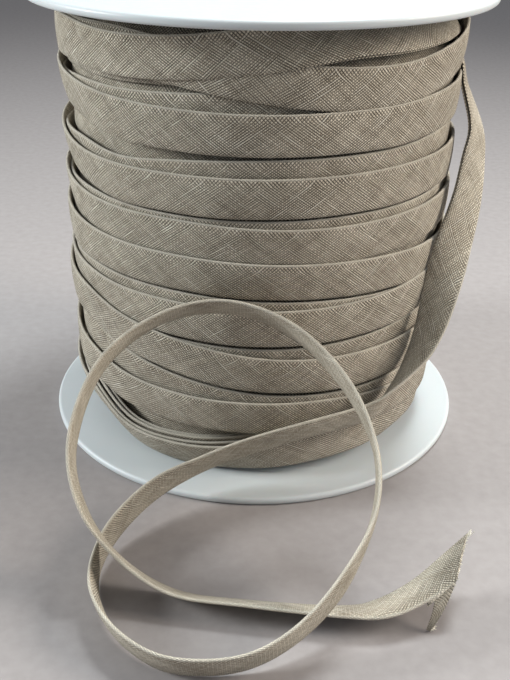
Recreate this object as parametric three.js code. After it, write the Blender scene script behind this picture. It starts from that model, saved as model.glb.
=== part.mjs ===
// A reel of bias binding: two plastic end discs, the wound binding between them and the loose end that hangs off it.
// Millimetres, +Z up. The reel stands on its lower disc, and the origin is the middle of that disc's underside.
import * as THREE from "three";

// End discs
const DISC_RADIUS = 75;
const DISC_THICKNESS = 2.6;
const DISC_RIM_ROUND = 1.1;
const DISC_RIM_STEPS = 3;
const DISC_SIDES = 72;
const REEL_HEIGHT = 150;

// Folded binding
const TAPE_WIDTH = 12;
const TAPE_THICKNESS = 1.2;
const TAPE_EDGE_CHAMFER = 0.35;

// Wound form
const PIECE_GAP = 0.3;
const UNDER_RADIUS = 63.2;
const TURN_RISE = 1.6;
const TURN_EDGE_RUN = 2.4;
const FOOT_HEIGHT = 13;
const FOOT_DRAW_IN = 7;
const HEAD_HEIGHT = 7;
const HEAD_DRAW_IN = 4;
const WINDING_SIDES = 48;
const WINDING_LEVELS = 58;

// Mid-heights of the outer turns where each one crosses the reel's left, front and right.
const LEFT_DEG = -60;
const RIGHT_DEG = 60;
const BACK_DEG = 180;
const TURN_DEG = 360;
const OUTER_TURNS = [
  { left: 138, front: 140.5, right: 144 },
  { left: 137, front: 132.5, right: 131.5 },
  { left: 120.5, front: 118, right: 119 },
  { left: 101, front: 99.8, right: 100.2 },
  { left: 86.4, front: 85.2, right: 85 },
  { left: 75.8, front: 74.5, right: 71.2 },
  { left: 60, front: 59, right: 60.3 },
  { left: 53, front: 43, right: 41 },
  { left: 30, front: 27, right: 24.5 },
  { left: 18, front: 14, right: 13 },
];
const LAST_TURN_END = 10;

// Route of the loose end: the middle of the binding, and the way its folded edge points.
const LOOSE_END = [
  { x: 66.8, y: -8.5, z: 120.7, edgeX: 0.33, edgeY: 0.92, edgeZ: -0.2 },
  { x: 70.8, y: -15, z: 108, edgeX: 0.55, edgeY: 0.8, edgeZ: -0.25 },
  { x: 70, y: -20, z: 98.5, edgeX: 0.75, edgeY: 0.6, edgeZ: -0.25 },
  { x: 68, y: -26, z: 87, edgeX: 0.88, edgeY: 0.38, edgeZ: -0.27 },
  { x: 64, y: -33, z: 74.5, edgeX: 1, edgeY: 0, edgeZ: -0.2 },
  { x: 60.5, y: -39.5, z: 62.5, edgeX: 0.9, edgeY: -0.45, edgeZ: 0 },
  { x: 57, y: -45.5, z: 51, edgeX: 0.65, edgeY: -0.75, edgeZ: 0.15 },
  { x: 53, y: -50, z: 42.5, edgeX: 0.4, edgeY: -0.85, edgeZ: 0.3 },
  { x: 48.5, y: -54, z: 37, edgeX: 0.1, edgeY: -0.9, edgeZ: 0.4 },
  { x: 43.5, y: -57.5, z: 32.5, edgeX: -0.1, edgeY: -0.85, edgeZ: 0.5 },
  { x: 38.5, y: -60.5, z: 28.5, edgeX: -0.1, edgeY: -0.6, edgeZ: 0.8 },
  { x: 31, y: -63, z: 26.5, edgeX: 0.05, edgeY: -0.5, edgeZ: 0.85 },
  { x: 16, y: -68.5, z: 25, edgeX: 0, edgeY: -0.55, edgeZ: 0.85 },
  { x: -1, y: -70.5, z: 20, edgeX: -0.15, edgeY: -0.55, edgeZ: 0.8 },
  { x: -16, y: -73.5, z: 15, edgeX: 0, edgeY: -0.55, edgeZ: 0.85 },
  { x: -30, y: -82, z: 11.5, edgeX: 0.05, edgeY: -0.35, edgeZ: 0.95 },
  { x: -40, y: -95.5, z: 8.2, edgeX: 0.05, edgeY: -0.2, edgeZ: 0.95 },
  { x: -44, y: -111, z: 6.8, edgeX: 0, edgeY: -0.1, edgeZ: 1 },
  { x: -41.5, y: -127, z: 6.8, edgeX: -0.25, edgeY: -0.15, edgeZ: 0.95 },
  { x: -33, y: -140, z: 6.5, edgeX: -0.25, edgeY: -0.3, edgeZ: 0.9 },
  { x: -20, y: -148, z: 6.3, edgeX: -0.15, edgeY: -0.45, edgeZ: 0.85 },
  { x: -2.5, y: -148, z: 7, edgeX: -0.05, edgeY: -0.5, edgeZ: 0.85 },
  { x: 11.5, y: -142, z: 11, edgeX: -0.05, edgeY: -0.5, edgeZ: 0.85 },
  { x: 24, y: -131, z: 19, edgeX: -0.1, edgeY: -0.5, edgeZ: 0.85 },
  { x: 33, y: -116, z: 29, edgeX: 0, edgeY: -0.6, edgeZ: 0.8 },
  { x: 34, y: -101, z: 40.5, edgeX: -0.1, edgeY: -0.65, edgeZ: 0.75 },
  { x: 26, y: -87, z: 53, edgeX: 0, edgeY: -0.7, edgeZ: 0.75 },
  { x: 11, y: -76, z: 64, edgeX: 0, edgeY: -0.7, edgeZ: 0.7 },
  { x: -8.5, y: -71, z: 69, edgeX: 0, edgeY: -0.75, edgeZ: 0.7 },
  { x: -28, y: -74, z: 66, edgeX: 0.05, edgeY: -0.75, edgeZ: 0.65 },
  { x: -44, y: -84, z: 56, edgeX: 0.05, edgeY: -0.7, edgeZ: 0.7 },
  { x: -50.5, y: -100, z: 41, edgeX: 0, edgeY: -0.7, edgeZ: 0.7 },
  { x: -47, y: -112, z: 28, edgeX: 0.05, edgeY: -0.85, edgeZ: 0.5 },
  { x: -37, y: -116, z: 13, edgeX: 0.2, edgeY: -0.8, edgeZ: 0.5 },
  { x: -21.5, y: -121, z: 5, edgeX: 0, edgeY: -0.8, edgeZ: 0.6 },
  { x: -1, y: -124, z: 4.2, edgeX: -0.1, edgeY: -0.8, edgeZ: 0.6 },
  { x: 24.5, y: -126.5, z: 4.2, edgeX: -0.05, edgeY: -0.85, edgeZ: 0.5 },
  { x: 36, y: -126, z: 5.1, edgeX: 0.15, edgeY: -0.9, edgeZ: 0.35 },
  { x: 47, y: -121.4, z: 7.8, edgeX: 0.2, edgeY: -0.9, edgeZ: 0.25 },
  { x: 58.3, y: -116.3, z: 15, edgeX: 0.25, edgeY: -0.9, edgeZ: 0.1 },
];
const STEPS_PER_ROW = 2;
const CUT_SLANT = 1;

// A closed mesh of rings with the same number of points, each ring given in order round the piece and each end closed by a fan.
function ringSolid(rings) {
  const count = rings[0].length;
  const points = rings.flat();
  const triangles = [];
  for (let ring = 0; ring < rings.length - 1; ring += 1)
    for (let side = 0; side < count; side += 1) {
      const next = (side + 1) % count;
      const low = ring * count;
      const high = low + count;
      triangles.push(low + side, low + next, high + next);
      triangles.push(low + side, high + next, high + side);
    }
  const middle = (ring) =>
    ring
      .reduce((sum, point) => sum.add(point), new THREE.Vector3())
      .divideScalar(count);
  const first = points.length;
  const last = first + 1;
  const top = (rings.length - 1) * count;
  for (let side = 0; side < count; side += 1) {
    const next = (side + 1) % count;
    triangles.push(first, next, side);
    triangles.push(last, top + side, top + next);
  }
  points.push(middle(rings[0]), middle(rings[rings.length - 1]));
  const geometry = new THREE.BufferGeometry().setFromPoints(points);
  geometry.setIndex(triangles);
  geometry.computeVertexNormals();
  return geometry;
}

// A round disc with its rim rounded above and below.
function discGeometry() {
  const profile = [new THREE.Vector2(0, 0)];
  const addRound = (height, startAngle) => {
    for (let step = 0; step <= DISC_RIM_STEPS; step += 1) {
      const angle = startAngle + ((Math.PI / 2) * step) / DISC_RIM_STEPS;
      profile.push(
        new THREE.Vector2(
          DISC_RADIUS - DISC_RIM_ROUND + DISC_RIM_ROUND * Math.cos(angle),
          height + DISC_RIM_ROUND * Math.sin(angle),
        ),
      );
    }
  };
  addRound(DISC_RIM_ROUND, -Math.PI / 2);
  addRound(DISC_THICKNESS - DISC_RIM_ROUND, 0);
  profile.push(new THREE.Vector2(0, DISC_THICKNESS));
  return new THREE.LatheGeometry(profile, DISC_SIDES).rotateX(Math.PI / 2);
}

// Where one outer turn begins on the next lap.
function nextLeft(turn) {
  return turn + 1 < OUTER_TURNS.length
    ? OUTER_TURNS[turn + 1].left
    : LAST_TURN_END;
}

// Mid-height of an outer turn at an angle from the reel's left, over the front, the right and the back, to the left again.
function turnHeight(turn, degrees) {
  const { left, front, right } = OUTER_TURNS[turn];
  const keys = [
    { degrees: LEFT_DEG, height: left },
    { degrees: 0, height: front },
    { degrees: RIGHT_DEG, height: right },
    { degrees: BACK_DEG, height: (right + nextLeft(turn)) / 2 },
    { degrees: LEFT_DEG + TURN_DEG, height: nextLeft(turn) },
  ];
  const key = keys.findIndex((k, i) => i > 0 && degrees <= k.degrees);
  const from = keys[key - 1];
  const to = keys[key];
  const share = (degrees - from.degrees) / (to.degrees - from.degrees);
  return THREE.MathUtils.lerp(from.height, to.height, share);
}

// Radius of the wound form: the under-layers, the outer turns standing proud of them, and both ends drawn in.
function windingRadius(degrees, height) {
  const nearest = Math.min(
    ...OUTER_TURNS.map((_, turn) =>
      Math.abs(height - turnHeight(turn, degrees)),
    ),
  );
  const inside = (TAPE_WIDTH / 2 + TURN_EDGE_RUN / 2 - nearest) / TURN_EDGE_RUN;
  const rise = TURN_RISE * THREE.MathUtils.clamp(inside, 0, 1);
  const fromFoot = height - DISC_THICKNESS;
  const fromHead = REEL_HEIGHT - DISC_THICKNESS - height;
  const foot = Math.max(0, 1 - fromFoot / FOOT_HEIGHT) ** 2;
  const head = Math.max(0, 1 - fromHead / HEAD_HEIGHT) ** 2;
  return UNDER_RADIUS + rise - FOOT_DRAW_IN * foot - HEAD_DRAW_IN * head;
}

function windingGeometry() {
  const bottom = DISC_THICKNESS + PIECE_GAP;
  const top = REEL_HEIGHT - DISC_THICKNESS - PIECE_GAP;
  const rings = [];
  for (let level = 0; level <= WINDING_LEVELS; level += 1) {
    const height = THREE.MathUtils.lerp(bottom, top, level / WINDING_LEVELS);
    const ring = [];
    for (let side = 0; side < WINDING_SIDES; side += 1) {
      const degrees = LEFT_DEG + (TURN_DEG * side) / WINDING_SIDES;
      const angle = THREE.MathUtils.degToRad(degrees);
      const radius = windingRadius(degrees, height);
      ring.push(
        new THREE.Vector3(
          radius * Math.sin(angle),
          -radius * Math.cos(angle),
          height,
        ),
      );
    }
    rings.push(ring);
  }
  return ringSolid(rings);
}

// Flat section of the folded binding, as offsets along its width and through its thickness.
function tapeSection() {
  const half = TAPE_WIDTH / 2;
  const thick = TAPE_THICKNESS / 2;
  const cut = TAPE_EDGE_CHAMFER;
  return [
    { across: half, through: -thick + cut },
    { across: half, through: thick - cut },
    { across: half - cut, through: thick },
    { across: -half + cut, through: thick },
    { across: -half, through: thick - cut },
    { across: -half, through: -thick + cut },
    { across: -half + cut, through: -thick },
    { across: half - cut, through: -thick },
  ];
}

function looseEndGeometry() {
  const middles = LOOSE_END.map(({ x, y, z }) => new THREE.Vector3(x, y, z));
  const edges = LOOSE_END.map(({ edgeX, edgeY, edgeZ }) =>
    new THREE.Vector3(edgeX, edgeY, edgeZ).normalize(),
  );
  const middleLine = new THREE.CatmullRomCurve3(middles, false, "catmullrom");
  const edgeLine = new THREE.CatmullRomCurve3(edges, false, "catmullrom");
  const steps = (LOOSE_END.length - 1) * STEPS_PER_ROW;
  const section = tapeSection();
  const rings = [];
  for (let step = 0; step <= steps; step += 1) {
    const share = step / steps;
    const along = middleLine.getTangent(share);
    const across = edgeLine.getPoint(share);
    across.addScaledVector(along, -across.dot(along)).normalize();
    const through = new THREE.Vector3().crossVectors(along, across);
    const middle = middleLine.getPoint(share);
    const slant = step === steps ? CUT_SLANT : 0;
    rings.push(
      section.map((offset) =>
        middle
          .clone()
          .addScaledVector(across, offset.across)
          .addScaledVector(through, offset.through)
          .addScaledVector(along, -slant * offset.across),
      ),
    );
  }
  return ringSolid(rings);
}

function piece(name, geometry, material) {
  const mesh = new THREE.Mesh(geometry, material);
  mesh.name = name;
  return mesh;
}

const whitePlastic = () =>
  new THREE.MeshStandardMaterial({
    color: 0xeeeeea,
    roughness: 0.45,
    metalness: 0,
  });
const taupeCotton = () =>
  new THREE.MeshStandardMaterial({
    color: 0x9c907c,
    roughness: 0.95,
    metalness: 0,
  });

const reel = new THREE.Group();
const lowerDisc = piece("flange_bottom", discGeometry(), whitePlastic());
const upperDisc = piece("flange_top", discGeometry(), whitePlastic());
upperDisc.position.z = REEL_HEIGHT - DISC_THICKNESS;
reel.add(lowerDisc, upperDisc);
reel.add(piece("winding", windingGeometry(), taupeCotton()));
reel.add(piece("loose_end", looseEndGeometry(), taupeCotton()));

export default reel;
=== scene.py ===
import math
import random

import bpy
from mathutils import Matrix, Vector, noise


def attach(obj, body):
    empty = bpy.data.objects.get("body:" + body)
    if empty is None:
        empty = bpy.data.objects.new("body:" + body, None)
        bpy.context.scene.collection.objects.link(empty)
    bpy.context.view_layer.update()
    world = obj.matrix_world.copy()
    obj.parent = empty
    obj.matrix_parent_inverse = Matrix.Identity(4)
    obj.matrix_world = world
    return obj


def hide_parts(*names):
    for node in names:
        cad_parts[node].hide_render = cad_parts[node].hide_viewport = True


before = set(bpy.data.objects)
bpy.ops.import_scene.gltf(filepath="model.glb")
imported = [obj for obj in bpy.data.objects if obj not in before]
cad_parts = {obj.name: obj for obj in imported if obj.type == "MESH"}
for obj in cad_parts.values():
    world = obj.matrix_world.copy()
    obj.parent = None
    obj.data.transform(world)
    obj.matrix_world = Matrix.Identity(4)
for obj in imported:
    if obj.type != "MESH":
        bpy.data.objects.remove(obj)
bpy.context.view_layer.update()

MM = 0.001
UP = Vector((0.0, 0.0, 1.0))

# Points nearer to each other than WELD are joined; edges sharper than CORNER stay sharp.
WELD = 0.01
CORNER = math.radians(50)

# Camera
CAMERA_PLACE = (0.0, -0.3227, 0.1894)
CAMERA_PITCH = math.radians(27.54)
CAMERA_ROLL = math.radians(0.98)
FOCAL_PIXELS = 954.3
PICTURE_HEIGHT = 680
SENSOR = 36.0
CLIP_START = 0.01

# Reel
DISC_RADIUS = 75.0
DISC_THICKNESS = 2.6
DISC_RIM_ROUND = 1.15
DISC_RIM_STEPS = 6
DISC_SIDES = 160
REEL_HEIGHT = 150.0

# Folded binding
TAPE_WIDTH = 12.0
LEAF_THICKNESS = 0.42
LEAF_GAP = 0.1
FACE_SWELL = 0.3
FACE_STEPS = 7
FOLD_STEPS = 6
FOLD_CLOTH = 2.0
FREE_EDGE_ROUND = 0.2

# Wound layers, radius to the middle of the binding
OUTER_RADIUS = 64.7
UNDER_RADIUS = 62.9
THIRD_RADIUS = 60.4
BODY_RADIUS = 58.2
BODY_SIDES = 96
BODY_LEVELS = 40
PIECE_GAP = 0.3
FOOT_HEIGHT = 25.0
FOOT_DRAW_IN = 13.0
HEAD_HEIGHT = 9.0
HEAD_DRAW_IN = 5.0
STEP_DEG = 3.0
TURN_DEG = 360.0
BACK_DEG = 200.0
WOBBLE = 0.3
WOBBLE_ROUND = 2.6
WOBBLE_UP = 45.0
LEAF_OPEN_DEG = 2.5
UNDER_OPEN_DEG = 0.7
LEAF_OPEN_SCALE = 3.1
OUTER_SEED = 1.0
UNDER_SEED = 5.0
THIRD_SEED = 9.0
MOST_LEAN = 0.9
TUCK_DEG = 70.0
TUCK_DEPTH = 3.0

# Outer turns from the top down, at these angles from the reel's front. Height is the middle of the
# binding, out its stand-off from the layer's radius, lean how much further out its upper edge stands
# than its lower edge.
STATIONS = (-60, -40, -20, 0, 20, 40, 60, 95)
OUTER_TURNS = [
    dict(
        height=(138.0, 136.9, 137.9, 140.6, 142.6, 142.7, 142.7, 143.5),
        out=(0.4, 0.3, -0.2, -1.0, -2.2, -3.4, -4.6, -5.0),
        lean=(0.5, 1.2, 0.5, -1.5, -8.0, -8.5, -8.5, -6.0),
    ),
    dict(
        height=(138.0, 138.2, 136.0, 132.9, 130.2, 129.8, 132.5, 137.5),
        out=(-1.3, -1.4, -1.3, -0.7, 0.0, 0.3, 0.6, 0.8),
        lean=(0.0, 0.0, 0.0, 0.2, 0.4, 1.0, 2.0, 1.0),
    ),
    dict(
        height=(120.8, 119.2, 118.3, 118.0, 118.1, 118.3, 119.2, 120.0),
        out=(-0.9, 0.2, 0.2, 0.2, 0.2, 0.3, 0.3, 0.2),
        lean=(3.0, 1.6, 0.9, 0.8, 0.8, 0.8, 1.0, 0.8),
    ),
    dict(
        height=(100.7, 99.8, 99.8, 99.8, 100.0, 100.1, 100.2, 100.3),
        out=(-0.9, 0.2, 0.2, 0.2, 0.2, 0.1, 0.1, 0.0),
        lean=(3.2, 1.8, 1.0, 0.9, 1.0, 1.0, 1.2, 1.0),
    ),
    dict(
        height=(86.8, 86.0, 86.0, 85.0, 84.5, 84.7, 85.2, 85.0),
        out=(-0.8, 0.0, 0.0, 0.0, 0.0, 0.0, 0.1, 0.0),
        lean=(2.6, 1.6, 1.3, 1.3, 1.3, 1.3, 1.5, 1.2),
    ),
    dict(
        height=(76.0, 75.5, 75.3, 74.4, 73.4, 72.2, 70.8, 70.0),
        out=(0.0, 0.2, 0.3, 0.2, 0.0, 0.0, 0.0, 0.0),
        lean=(1.4, 2.0, 2.2, 2.1, 1.8, 1.5, 1.4, 1.0),
    ),
    dict(
        height=(60.5, 59.9, 59.6, 58.9, 58.9, 59.8, 60.8, 60.0),
        out=(-0.8, 0.1, 0.3, 0.4, 0.4, 0.5, 0.6, 0.3),
        lean=(2.2, 1.5, 0.9, 0.7, 0.6, 0.6, 0.5, 0.4),
    ),
    dict(
        height=(54.1, 50.3, 46.7, 43.2, 41.6, 41.4, 41.6, 41.0),
        out=(0.8, 0.8, 0.7, 0.7, 0.6, 0.5, 0.6, 0.3),
        lean=(1.2, 1.3, 1.0, 0.8, 0.8, 0.8, 1.0, 0.6),
    ),
    dict(
        height=(31.0, 28.8, 27.6, 27.0, 26.5, 24.6, 23.0, 22.0),
        out=(0.1, 0.2, 0.2, 0.2, 0.2, -0.1, -0.7, -1.0),
        lean=(1.0, 1.6, 1.8, 1.8, 1.8, 1.6, 1.2, 0.8),
    ),
    dict(
        height=(16.8, 10.0, 9.0, 10.6, 13.0, 14.0, 15.0, 15.0),
        out=(-0.8, -1.8, -2.4, -2.7, -2.6, -2.6, -2.6, -3.0),
        lean=(5.0, 6.5, 6.0, 4.0, 1.5, 1.0, 1.0, 1.0),
    ),
]
OUTER_END = dict(height=14.0, out=-4.5, lean=0.5)

# Turns of the layer beneath, from the bottom up.
UNDER_TURNS = [
    dict(
        height=(40.0, 36.4, 32.7, 29.5, 27.9, 27.7, 27.9, 29.0),
        out=(0.2, 0.4, 0.6, 0.6, 0.6, 0.6, 0.4, 0.0),
        lean=(0.5, 1.2, 1.6, 1.6, 1.6, 1.6, 1.4, 0.6),
    ),
    dict(
        height=(48.0, 47.2, 46.2, 45.4, 45.4, 46.3, 47.2, 48.0),
        out=(0.0, 0.3, 0.5, 0.5, 0.5, 0.5, 0.4, 0.0),
        lean=(0.3, 1.2, 1.6, 1.6, 1.6, 1.6, 1.4, 0.6),
    ),
    dict(
        height=(62.4, 62.5, 62.4, 61.5, 60.5, 59.3, 59.0, 59.5),
        out=(0.0, 0.2, 0.4, 0.4, 0.4, 0.4, 0.2, 0.0),
        lean=(1.5, 1.5, 1.6, 1.6, 1.6, 1.6, 1.4, 0.6),
    ),
    dict(
        height=(77.0, 77.3, 77.7, 78.1, 78.6, 79.1, 79.7, 80.4),
        out=(0.0, 0.2, 0.4, 0.4, 0.4, 0.4, 0.2, 0.0),
        lean=(0.5, 1.2, 1.6, 1.6, 1.6, 1.6, 1.4, 0.6),
    ),
    dict(
        height=(87.6, 87.0, 86.9, 86.9, 87.1, 87.2, 87.3, 87.5),
        out=(0.0, 0.2, 0.4, 0.4, 0.4, 0.4, 0.2, 0.0),
        lean=(1.5, 1.5, 1.6, 1.6, 1.6, 1.6, 1.4, 0.6),
    ),
    dict(
        height=(103.4, 101.6, 103.6, 104.9, 105.1, 105.3, 106.2, 106.9),
        out=(-0.4, 0.2, 0.4, 0.4, 0.4, 0.4, 0.2, 0.0),
        lean=(3.0, 1.6, 1.6, 1.6, 1.6, 1.6, 1.4, 0.6),
    ),
    dict(
        height=(121.2, 121.1, 122.2, 123.7, 125.2, 126.7, 128.2, 129.4),
        out=(-0.4, 0.2, 0.2, -0.2, -0.4, -0.4, -0.4, -0.4),
        lean=(2.5, 0.6, -0.2, -0.6, -0.6, -0.6, -0.4, 0.0),
    ),
    dict(
        height=(134.5, 134.8, 136.0, 137.5, 138.5, 139.5, 140.0, 140.5),
        out=(-1.1, -1.1, -1.3, -2.2, -3.2, -3.8, -4.0, -4.0),
        lean=(0.0, -0.3, -0.5, -0.8, -1.0, -1.0, -1.0, -1.0),
    ),
]
UNDER_END = dict(height=141.0, out=-3.0, lean=-1.0)

THIRD_TURNS = 11
THIRD_TOP = 140.0
THIRD_BOTTOM = 9.0
THIRD_LEAN = -1.0

# Short turns stacked inside the lowest outer turn at the left front.
FOOT_STACK = [
    dict(inward=0.9, rise=0.3),
    dict(inward=2.2, rise=1.4),
    dict(inward=3.6, rise=1.3),
    dict(inward=5.4, rise=-1.5),
]
FOOT_STACK_START = -115.0
FOOT_STACK_END = 25.0

# Route of the loose end: the middle of the binding, and the way its folded edge points.
LOOSE_END = [
    (0.0668, -0.0085, 0.1207, 0.33, 0.92, -0.2),
    (0.0708, -0.015, 0.108, 0.55, 0.8, -0.25),
    (0.07, -0.02, 0.0985, 0.75, 0.6, -0.25),
    (0.068, -0.026, 0.087, 0.88, 0.38, -0.27),
    (0.064, -0.033, 0.0745, 1.0, 0.0, -0.2),
    (0.0605, -0.0395, 0.0625, 0.9, -0.45, 0.0),
    (0.057, -0.0455, 0.051, 0.65, -0.75, 0.15),
    (0.053, -0.05, 0.0425, 0.4, -0.85, 0.3),
    (0.0485, -0.054, 0.037, 0.1, -0.9, 0.4),
    (0.0435, -0.0575, 0.0325, -0.1, -0.85, 0.5),
    (0.0385, -0.0605, 0.0285, -0.1, -0.6, 0.8),
    (0.031, -0.063, 0.0265, 0.05, -0.5, 0.85),
    (0.016, -0.0685, 0.025, 0.0, -0.55, 0.85),
    (-0.001, -0.0705, 0.02, -0.15, -0.55, 0.8),
    (-0.016, -0.0735, 0.015, 0.0, -0.55, 0.85),
    (-0.03, -0.082, 0.0115, 0.05, -0.35, 0.95),
    (-0.04, -0.0955, 0.0082, 0.05, -0.2, 0.95),
    (-0.044, -0.111, 0.0068, 0.0, -0.1, 1.0),
    (-0.0415, -0.127, 0.0068, -0.25, -0.15, 0.95),
    (-0.033, -0.14, 0.0065, -0.25, -0.3, 0.9),
    (-0.02, -0.148, 0.0063, -0.15, -0.45, 0.85),
    (-0.0025, -0.148, 0.007, -0.05, -0.5, 0.85),
    (0.0115, -0.142, 0.011, -0.05, -0.5, 0.85),
    (0.024, -0.131, 0.019, -0.1, -0.5, 0.85),
    (0.033, -0.116, 0.029, 0.0, -0.6, 0.8),
    (0.034, -0.101, 0.0405, -0.1, -0.65, 0.75),
    (0.026, -0.087, 0.053, 0.0, -0.7, 0.75),
    (0.011, -0.076, 0.064, 0.0, -0.7, 0.7),
    (-0.0085, -0.071, 0.069, 0.0, -0.75, 0.7),
    (-0.028, -0.074, 0.066, 0.05, -0.75, 0.65),
    (-0.044, -0.084, 0.056, 0.05, -0.7, 0.7),
    (-0.0505, -0.1, 0.041, 0.0, -0.7, 0.7),
    (-0.047, -0.112, 0.028, 0.05, -0.85, 0.5),
    (-0.037, -0.116, 0.013, 0.2, -0.8, 0.5),
    (-0.0215, -0.121, 0.005, 0.0, -0.8, 0.6),
    (-0.001, -0.124, 0.0042, -0.1, -0.8, 0.6),
    (0.0245, -0.1265, 0.0042, -0.05, -0.85, 0.5),
    (0.036, -0.126, 0.0051, 0.15, -0.9, 0.35),
    (0.047, -0.1214, 0.0078, 0.2, -0.9, 0.25),
    (0.0583, -0.1163, 0.015, 0.25, -0.9, 0.1),
]
STEPS_PER_ROW = 8
CUT_SLANT = 1.0
CUT_ZONE = 12.0
TIP_OPEN_DEG = 10.0
TIP_OPEN_ZONE = 20.0
UNDER_LEAF_TRIM = 9.0
OPEN_WAVER = 30.0
OPEN_SEED = 4.0

# Where the loose end starts, tucked beneath the outer turns.
TUCKED_START = [
    (0.0612, 0.006, 0.1415, -0.1, 1.0, 0.0),
    (0.0623, 0.001, 0.1355, 0.0, 1.0, -0.1),
    (0.0636, -0.003, 0.1315, 0.1, 1.0, -0.15),
    (0.0655, -0.0058, 0.1272, 0.25, 0.95, -0.2),
]

# Under leaf of the cut end, opened out and hanging from the last of the fold down to its tip.
OPENED_LEAF_TIP = ((0.0478, -0.1293, 0.0008), (0.049, -0.1296, 0.0006))
OPENED_LEAF_FOLD = 7.0
OPENED_LEAF_LENGTH = 13.0
OPENED_LEAF_BOW = 0.9
OPENED_LEAF_COLUMNS = 8
OPENED_LEAF_ROWS = 16

# Threads that have come loose along the cut.
FRAY_SEED = 7
FRAY_ALONG_CUT = 34
FRAY_AT_TIP = 9
FRAY_TIP_REACH = 1.5
FRAY_LEAF_SHARE = 0.1
FRAY_RADIUS = 0.09
FRAY_SIDES = 6
FRAY_SHORT = (0.4, 1.0)
FRAY_LONG = (1.0, 2.2)
FRAY_SPREAD = 0.5
FRAY_CURL = 0.35
FRAY_STEPS = 5


def add_object(name, data):
    piece = bpy.data.objects.new(name, data)
    bpy.context.scene.collection.objects.link(piece)
    return piece


def place_camera():
    data = bpy.data.cameras.new("camera")
    data.sensor_fit = "VERTICAL"
    data.sensor_height = SENSOR
    data.lens = FOCAL_PIXELS / PICTURE_HEIGHT * SENSOR
    data.clip_start = CLIP_START
    camera = add_object("camera", data)
    tilt = Matrix.Rotation(math.pi / 2 - CAMERA_PITCH, 4, "X")
    roll = Matrix.Rotation(CAMERA_ROLL, 4, "Z")
    camera.matrix_world = Matrix.Translation(CAMERA_PLACE) @ tilt @ roll
    bpy.context.scene.camera = camera


# Node trees


class Tree:
    """A node tree built a node at a time; inputs are sockets of other nodes or plain values."""

    def __init__(self, tree):
        self.tree = tree

    def add(self, kind, *inputs, **settings):
        named = settings.pop("named", {})
        node = self.tree.nodes.new(kind)
        for key, value in settings.items():
            setattr(node, key, value)
        for key, value in [*enumerate(inputs), *named.items()]:
            self.put(node.inputs[key], value)
        return node

    def put(self, socket, value):
        if value is None:
            return
        if isinstance(value, bpy.types.NodeSocket):
            self.tree.links.new(value, socket)
        else:
            socket.default_value = value

    def math(self, operation, *values, clamp=False):
        return self.add("ShaderNodeMath", *values, operation=operation, use_clamp=clamp).outputs[0]

    def vector(self, operation, *values):
        node = self.add("ShaderNodeVectorMath", operation=operation)
        for socket, value in zip(node.inputs, values):
            self.put(socket, value)
        return node.outputs[0]

    def scaled(self, vector, factor):
        node = self.add("ShaderNodeVectorMath", operation="SCALE")
        self.put(node.inputs[0], vector)
        self.put(node.inputs["Scale"], factor)
        return node.outputs[0]

    def captured(self, geometry, **fields):
        node = self.add("GeometryNodeCaptureAttribute", domain="POINT")
        for name, (kind, field) in fields.items():
            node.capture_items.new(kind, name)
            self.put(node.inputs[name], field)
        self.put(node.inputs["Geometry"], geometry)
        return node

    def noise(self, vector, scale, detail):
        named = {"Vector": vector, "Scale": scale, "Detail": detail}
        return self.add("ShaderNodeTexNoise", named=named).outputs[0]

    def ranged(self, value, low, high, first=0.0, last=1.0):
        """The value, with low to high brought to first to last and kept between them."""
        named = {"Value": value, "From Min": low, "From Max": high, "To Min": first, "To Max": last}
        return self.add("ShaderNodeMapRange", named=named).outputs[0]

    def relief(self, height, depth, share):
        """A normal raised by the height; depth is in millimetres."""
        named = {"Strength": share, "Distance": depth * MM, "Height": height}
        return self.add("ShaderNodeBump", named=named).outputs[0]

    def attribute(self, name, kind):
        return self.add("GeometryNodeInputNamedAttribute", name, data_type=kind).outputs[0]


def geometry_tree(name, **sockets):
    """A Geometry Nodes tree with named inputs: the group, its builder, its inputs and its output."""
    group = bpy.data.node_groups.new(name, "GeometryNodeTree")
    group.interface.new_socket("Geometry", in_out="INPUT", socket_type="NodeSocketGeometry")
    for socket, kind in sockets.items():
        group.interface.new_socket(socket, in_out="INPUT", socket_type=kind)
    group.interface.new_socket("Geometry", in_out="OUTPUT", socket_type="NodeSocketGeometry")
    tree = Tree(group)
    return group, tree, tree.add("NodeGroupInput").outputs, tree.add("NodeGroupOutput").inputs


def end_tree(tree, geometry, material, output):
    """Every tree ends with real geometry and its material."""
    real = tree.add("GeometryNodeRealizeInstances", geometry).outputs[0]
    tree.put(output["Geometry"], tree.add("GeometryNodeSetMaterial", real, None, material).outputs[0])


def run_tree(piece, group, **values):
    """Puts the tree on the piece, sets its named inputs and turns the result into a plain mesh."""
    modifier = piece.modifiers.new(group.name, "NODES")
    modifier.node_group = group
    for item in group.interface.items_tree:
        if item.in_out == "INPUT" and item.name in values:
            modifier[item.identifier] = values[item.name]
    piece.update_tag()
    graph = bpy.context.evaluated_depsgraph_get()
    made = bpy.data.meshes.new_from_object(piece.evaluated_get(graph), depsgraph=graph)
    made.name = piece.name
    piece.modifiers.remove(modifier)
    piece.data = made
    return piece


def smooth_but_for_corners(tree, geometry):
    angle = tree.add("GeometryNodeInputMeshEdgeAngle").outputs[0]
    sharp = tree.add("FunctionNodeCompare", angle, CORNER, operation="GREATER_THAN").outputs[0]
    smooth = tree.add("GeometryNodeSetShadeSmooth", geometry, None, True, domain="FACE").outputs[0]
    return tree.add("GeometryNodeSetShadeSmooth", smooth, sharp, False, domain="EDGE").outputs[0]


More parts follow.
